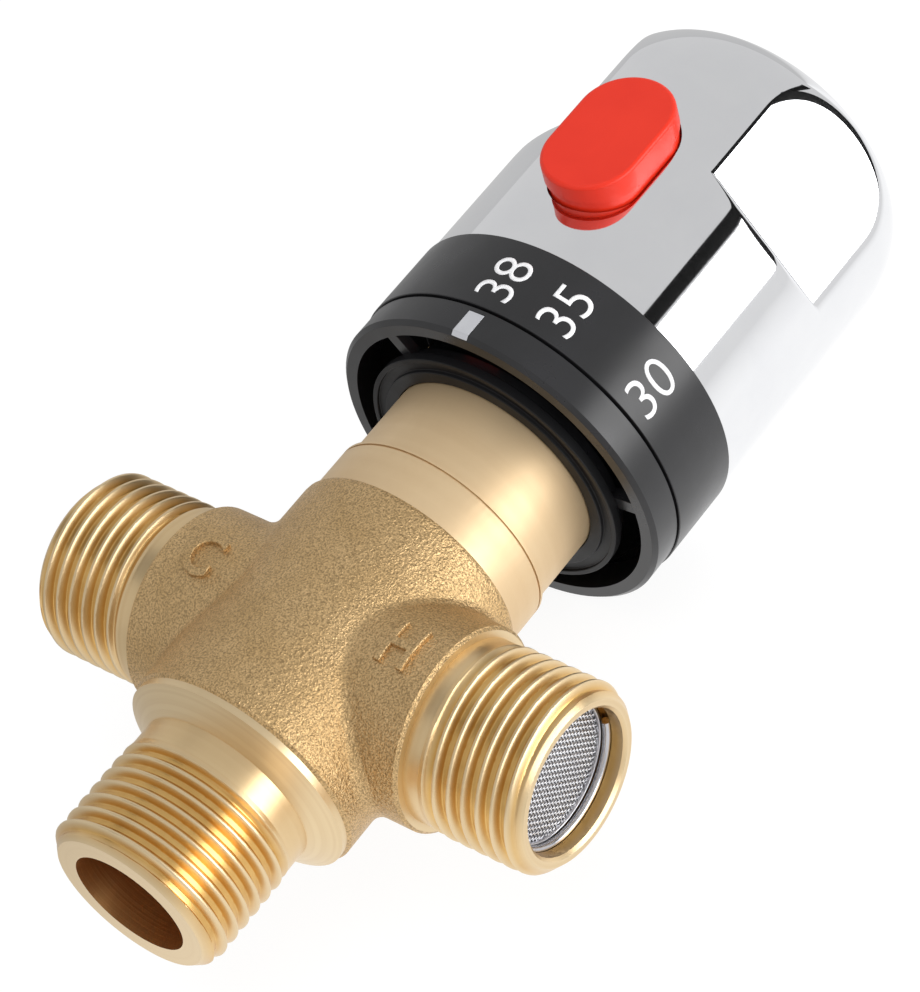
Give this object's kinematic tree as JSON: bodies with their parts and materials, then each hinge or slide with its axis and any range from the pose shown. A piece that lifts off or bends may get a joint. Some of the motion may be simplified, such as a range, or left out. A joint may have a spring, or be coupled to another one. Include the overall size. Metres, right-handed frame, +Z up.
{
  "type": "thermostatic mixing valve",
  "caption": "Brass in-line thermostatic mixing valve with hot and cold threaded inlets, a threaded mixed-water outlet, and a chromed temperature knob with a red safety button.",
  "frame": {"origin": "centre of the mixed-water outlet's end face, where its washer seals", "axes": "+X along the valve to the end of the knob; +Z up through the safety button; -Y out of the hot inlet, +Y out of the cold inlet"},
  "size_m": [0.1181, 0.065, 0.045],
  "materials": {
    "valve_body": "fine cast skin with turned faces and threads",
    "bonnet": "turned",
    "pusher_cup": "turned",
    "spindle": "turned",
    "wax_element": "turned, copper-rich",
    "cartridge_sleeve": "moulded black plastic",
    "mixing_shuttle": "moulded white plastic",
    "overload_piston": "stainless",
    "element_pin": "ground stainless",
    "hot_sleeve_seal": "black rubber",
    "middle_sleeve_seal": "black rubber",
    "cold_sleeve_seal": "black rubber",
    "bonnet_seal": "black rubber",
    "hot_check_seal": "black rubber",
    "cold_check_seal": "black rubber",
    "return_spring": "stainless steel",
    "overload_spring": "stainless steel",
    "button_spring": "stainless steel",
    "hot_check_spring": "stainless steel",
    "cold_check_spring": "stainless steel",
    "spindle_circlip": "stainless steel",
    "hot_retaining_clip": "stainless steel",
    "cold_retaining_clip": "stainless steel",
    "hot_strainer": "stainless steel",
    "cold_strainer": "stainless steel",
    "knob_screw": "stainless steel",
    "stop_ring": "black moulded plastic",
    "index_ring": "black moulded plastic, satin",
    "scale_ring": "black moulded plastic, satin",
    "index_mark": "silver foil",
    "knob_carrier": "moulded dark plastic",
    "knob_shell": "bright chrome plating",
    "knob_cap": "bright chrome plating",
    "safety_button": "red moulded plastic",
    "hot_check_housing": "moulded dark grey plastic",
    "cold_check_housing": "moulded dark grey plastic",
    "hot_check_poppet": "moulded white plastic",
    "cold_check_poppet": "moulded white plastic"
  },
  "bodies": {
    "fixed_body": {"valve_body": "valve_body", "cartridge_sleeve": "cartridge_sleeve", "hot_sleeve_seal": "hot_sleeve_seal", "middle_sleeve_seal": "middle_sleeve_seal", "cold_sleeve_seal": "cold_sleeve_seal", "return_spring": "return_spring", "bonnet": "bonnet", "bonnet_seal": "bonnet_seal", "stop_ring": "stop_ring", "index_ring": "index_ring", "index_mark": "index_mark", "hot_strainer": "hot_strainer", "hot_retaining_clip": "hot_retaining_clip", "hot_check_housing": "hot_check_housing", "hot_check_seal": "hot_check_seal", "hot_check_spring": "hot_check_spring", "cold_strainer": "cold_strainer", "cold_retaining_clip": "cold_retaining_clip", "cold_check_housing": "cold_check_housing", "cold_check_seal": "cold_check_seal", "cold_check_spring": "cold_check_spring"},
    "knob": {"spindle": "spindle", "spindle_circlip": "spindle_circlip", "scale_ring": "scale_ring", "knob_carrier": "knob_carrier", "knob_shell": "knob_shell", "knob_screw": "knob_screw", "knob_cap": "knob_cap", "button_spring": "button_spring"},
    "button": {"safety_button": "safety_button"},
    "pusher": {"pusher_cup": "pusher_cup", "overload_spring": "overload_spring"},
    "overload": {"overload_piston": "overload_piston", "element_pin": "element_pin"},
    "thermostat": {"wax_element": "wax_element", "mixing_shuttle": "mixing_shuttle"},
    "hot_check": {"hot_check_poppet": "hot_check_poppet"},
    "cold_check": {"cold_check_poppet": "cold_check_poppet"}
  },
  "joints": [
    {"name": "knob_turn", "type": "hinge", "parent": "fixed_body", "child": "knob", "pos_m": [0.078, 0, 0], "axis": [1, 0, 0], "range_deg": [-115, 45]},
    {"name": "button_press", "type": "slide", "parent": "knob", "child": "button", "axis": [0, 0, -1], "range_m": [0, 0.0013], "stiffness_N_per_m": 900, "springref_m": -0.0015, "deforming": ["button_spring"]},
    {"name": "pusher_travel", "type": "slide", "parent": "fixed_body", "child": "pusher", "axis": [1, 0, 0], "range_m": [-0.0009, 0.0004]},
    {"name": "overload_travel", "type": "slide", "parent": "pusher", "child": "overload", "axis": [1, 0, 0], "range_m": [0, 0.0015], "stiffness_N_per_m": 15000, "springref_m": -0.002, "deforming": ["overload_spring"]},
    {"name": "thermostat_travel", "type": "slide", "parent": "overload", "child": "thermostat", "axis": [-1, 0, 0], "range_m": [-0.0007, 0.0007], "stiffness_N_per_m": 6000, "deforming": ["return_spring"]},
    {"name": "hot_check_travel", "type": "slide", "parent": "fixed_body", "child": "hot_check", "axis": [0, 1, 0], "range_m": [0, 0.0024], "stiffness_N_per_m": 120, "springref_m": -0.002, "deforming": ["hot_check_spring"]},
    {"name": "cold_check_travel", "type": "slide", "parent": "fixed_body", "child": "cold_check", "axis": [0, -1, 0], "range_m": [0, 0.0024], "stiffness_N_per_m": 120, "springref_m": -0.002, "deforming": ["cold_check_spring"]}
  ],
  "couplings": [
    {"joint": "pusher_travel", "follows": "knob_turn", "m_per_rad": 0.00039789}
  ]
}
